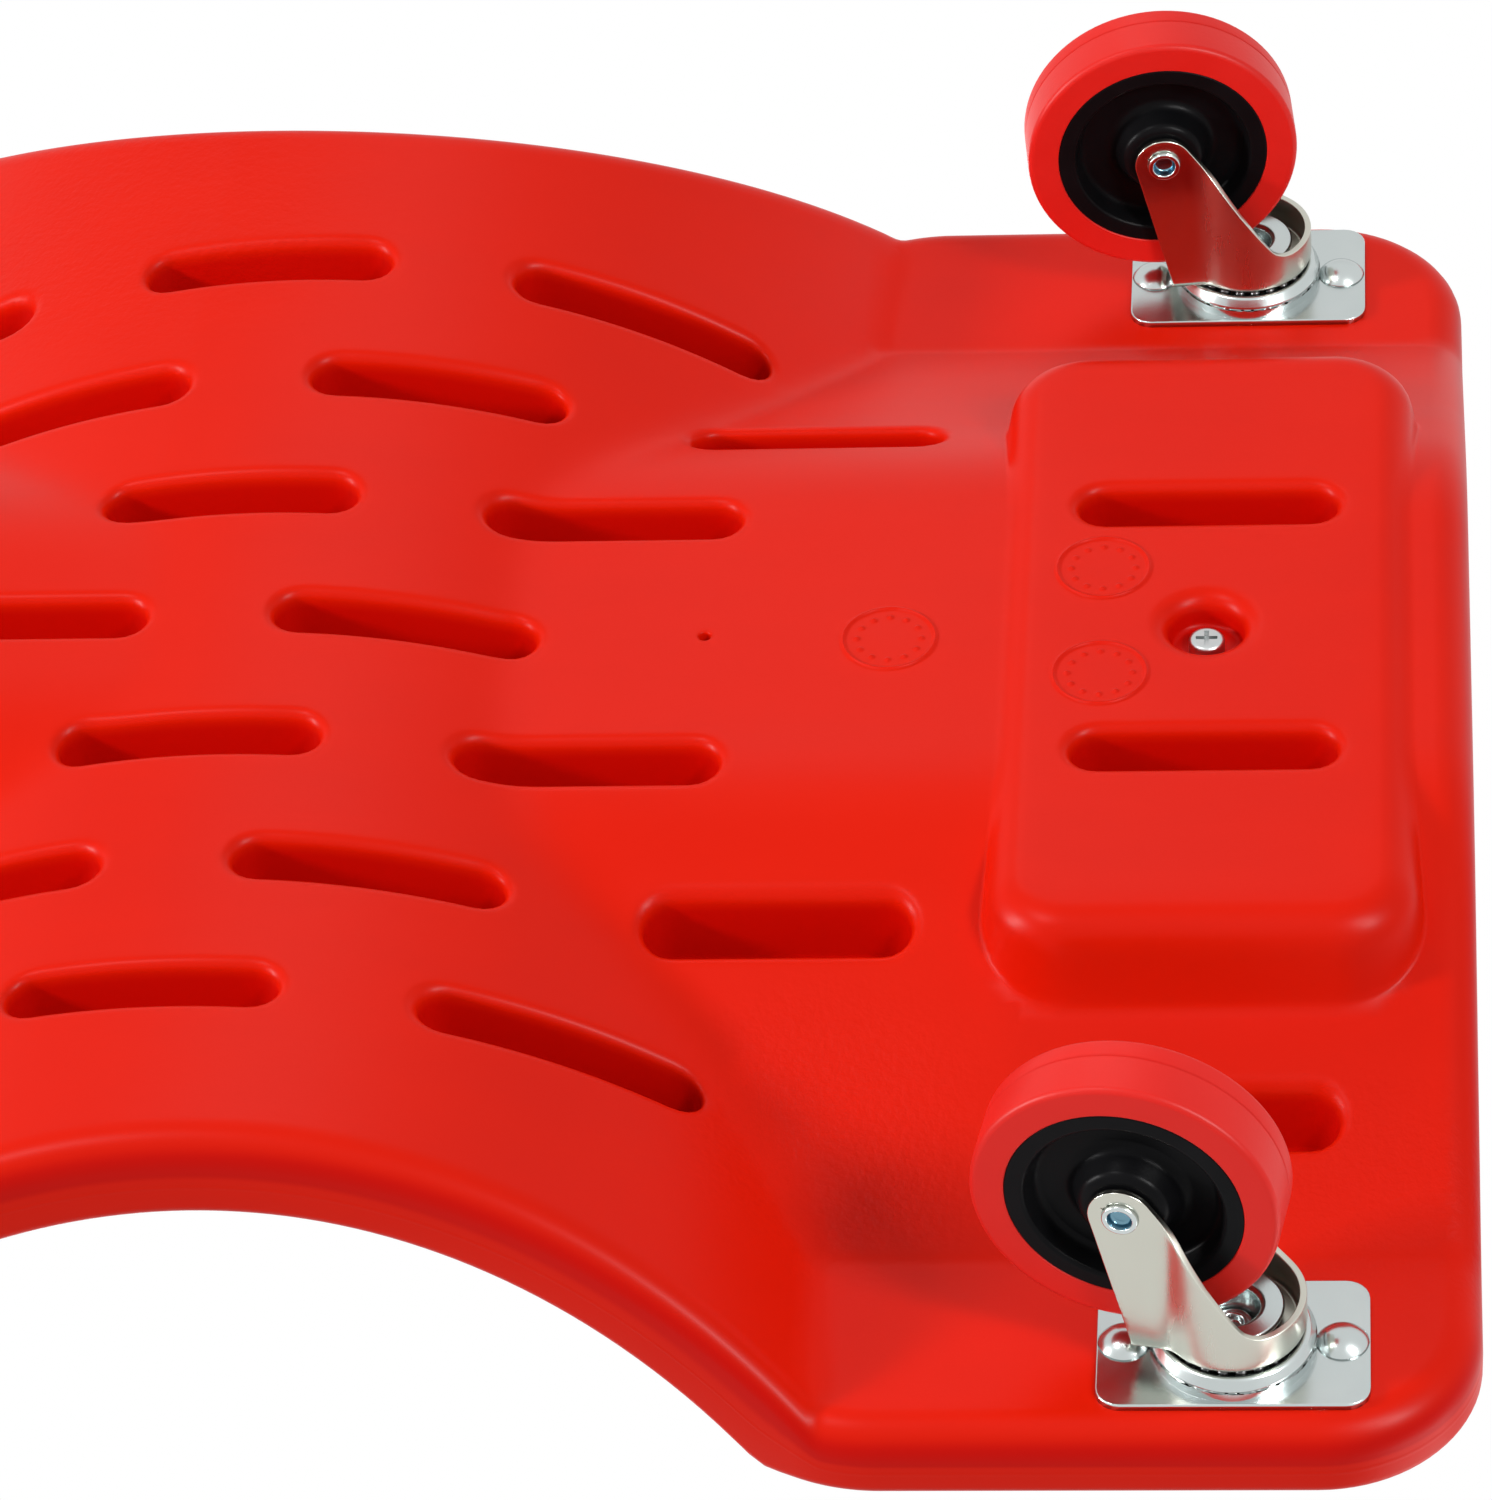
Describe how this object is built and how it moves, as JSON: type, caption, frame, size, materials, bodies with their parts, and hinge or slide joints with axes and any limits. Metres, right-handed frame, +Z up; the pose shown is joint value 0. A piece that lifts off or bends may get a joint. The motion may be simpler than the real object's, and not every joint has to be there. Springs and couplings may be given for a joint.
{
  "type": "mechanic creeper",
  "caption": "Low moulded creeper board with a dished lying surface, arm cut-outs, tool trays, padded headrest and swivel casters for working under vehicles.",
  "frame": {"origin": "on the floor, under the middle of the board", "axes": "+X to the head end, +Y to the right of the person lying on it, +Z up"},
  "size_m": [1.016, 0.48, 0.1134],
  "materials": {
    "red_board": "satin moulded polyethylene",
    "red_tyre": "satin cast polyurethane",
    "black_hub": "moulded, slightly glossy",
    "zinc_steel": "bright zinc plate",
    "bright_steel": "polished bearing steel",
    "plywood": "plain plywood",
    "foam": "open foam",
    "black_vinyl": "grained vinyl"
  },
  "bodies": {
    "root": {"body_shell": "red_board", "plate_rivets": "zinc_steel", "kingpins": "zinc_steel", "race_cups": "zinc_steel", "upper_balls": "bright_steel", "lower_balls": "bright_steel", "headrest_board": "plywood", "headrest_foam": "foam", "headrest_cover": "black_vinyl", "headrest_tee_nut": "zinc_steel", "headrest_screw": "zinc_steel", "head_right_plate": "zinc_steel", "head_left_plate": "zinc_steel", "middle_right_plate": "zinc_steel", "middle_left_plate": "zinc_steel", "foot_right_plate": "zinc_steel", "foot_left_plate": "zinc_steel"},
    "head_right_swivel": {"head_right_fork": "zinc_steel", "head_right_axle": "zinc_steel"},
    "head_right_wheel": {"head_right_tyre": "red_tyre", "head_right_hub": "black_hub", "head_right_bush": "bright_steel"},
    "head_left_swivel": {"head_left_fork": "zinc_steel", "head_left_axle": "zinc_steel"},
    "head_left_wheel": {"head_left_tyre": "red_tyre", "head_left_hub": "black_hub", "head_left_bush": "bright_steel"},
    "middle_right_swivel": {"middle_right_fork": "zinc_steel", "middle_right_axle": "zinc_steel"},
    "middle_right_wheel": {"middle_right_tyre": "red_tyre", "middle_right_hub": "black_hub", "middle_right_bush": "bright_steel"},
    "middle_left_swivel": {"middle_left_fork": "zinc_steel", "middle_left_axle": "zinc_steel"},
    "middle_left_wheel": {"middle_left_tyre": "red_tyre", "middle_left_hub": "black_hub", "middle_left_bush": "bright_steel"},
    "foot_right_swivel": {"foot_right_fork": "zinc_steel", "foot_right_axle": "zinc_steel"},
    "foot_right_wheel": {"foot_right_tyre": "red_tyre", "foot_right_hub": "black_hub", "foot_right_bush": "bright_steel"},
    "foot_left_swivel": {"foot_left_fork": "zinc_steel", "foot_left_axle": "zinc_steel"},
    "foot_left_wheel": {"foot_left_tyre": "red_tyre", "foot_left_hub": "black_hub", "foot_left_bush": "bright_steel"}
  },
  "joints": [
    {"name": "head_right_swivel_turn", "type": "hinge", "parent": "root", "child": "head_right_swivel", "pos_m": [0.448, 0.2106, 0.0899], "axis": [0, 0, 1], "continuous": true},
    {"name": "head_right_wheel_roll", "type": "hinge", "parent": "head_right_swivel", "child": "head_right_wheel", "pos_m": [0.42487, 0.20644, 0.0375], "axis": [0.1771, -0.9842, 0], "continuous": true},
    {"name": "head_left_swivel_turn", "type": "hinge", "parent": "root", "child": "head_left_swivel", "pos_m": [0.448, -0.2106, 0.0899], "axis": [0, 0, 1], "continuous": true},
    {"name": "head_left_wheel_roll", "type": "hinge", "parent": "head_left_swivel", "child": "head_left_wheel", "pos_m": [0.42461, -0.20831, 0.0375], "axis": [-0.0976, -0.9952, 0], "continuous": true},
    {"name": "middle_right_swivel_turn", "type": "hinge", "parent": "root", "child": "middle_right_swivel", "pos_m": [0, 0.2106, 0.0899], "axis": [0, 0, 1], "continuous": true},
    {"name": "middle_right_wheel_roll", "type": "hinge", "parent": "middle_right_swivel", "child": "middle_right_wheel", "pos_m": [-0.02321, 0.21428, 0.0375], "axis": [-0.1564, -0.9877, 0], "continuous": true},
    {"name": "middle_left_swivel_turn", "type": "hinge", "parent": "root", "child": "middle_left_swivel", "pos_m": [0, -0.2106, 0.0899], "axis": [0, 0, 1], "continuous": true},
    {"name": "middle_left_wheel_roll", "type": "hinge", "parent": "middle_left_swivel", "child": "middle_left_wheel", "pos_m": [-0.02327, -0.21387, 0.0375], "axis": [0.1392, -0.9903, 0], "continuous": true},
    {"name": "foot_right_swivel_turn", "type": "hinge", "parent": "root", "child": "foot_right_swivel", "pos_m": [-0.448, 0.2106, 0.0899], "axis": [0, 0, 1], "continuous": true},
    {"name": "foot_right_wheel_roll", "type": "hinge", "parent": "foot_right_swivel", "child": "foot_right_wheel", "pos_m": [-0.42501, 0.21549, 0.0375], "axis": [-0.2079, 0.9781, 0], "continuous": true},
    {"name": "foot_left_swivel_turn", "type": "hinge", "parent": "root", "child": "foot_left_swivel", "pos_m": [-0.448, -0.2106, 0.0899], "axis": [0, 0, 1], "continuous": true},
    {"name": "foot_left_wheel_roll", "type": "hinge", "parent": "foot_left_swivel", "child": "foot_left_wheel", "pos_m": [-0.42468, -0.21346, 0.0375], "axis": [0.1219, 0.9925, 0], "continuous": true}
  ]
}
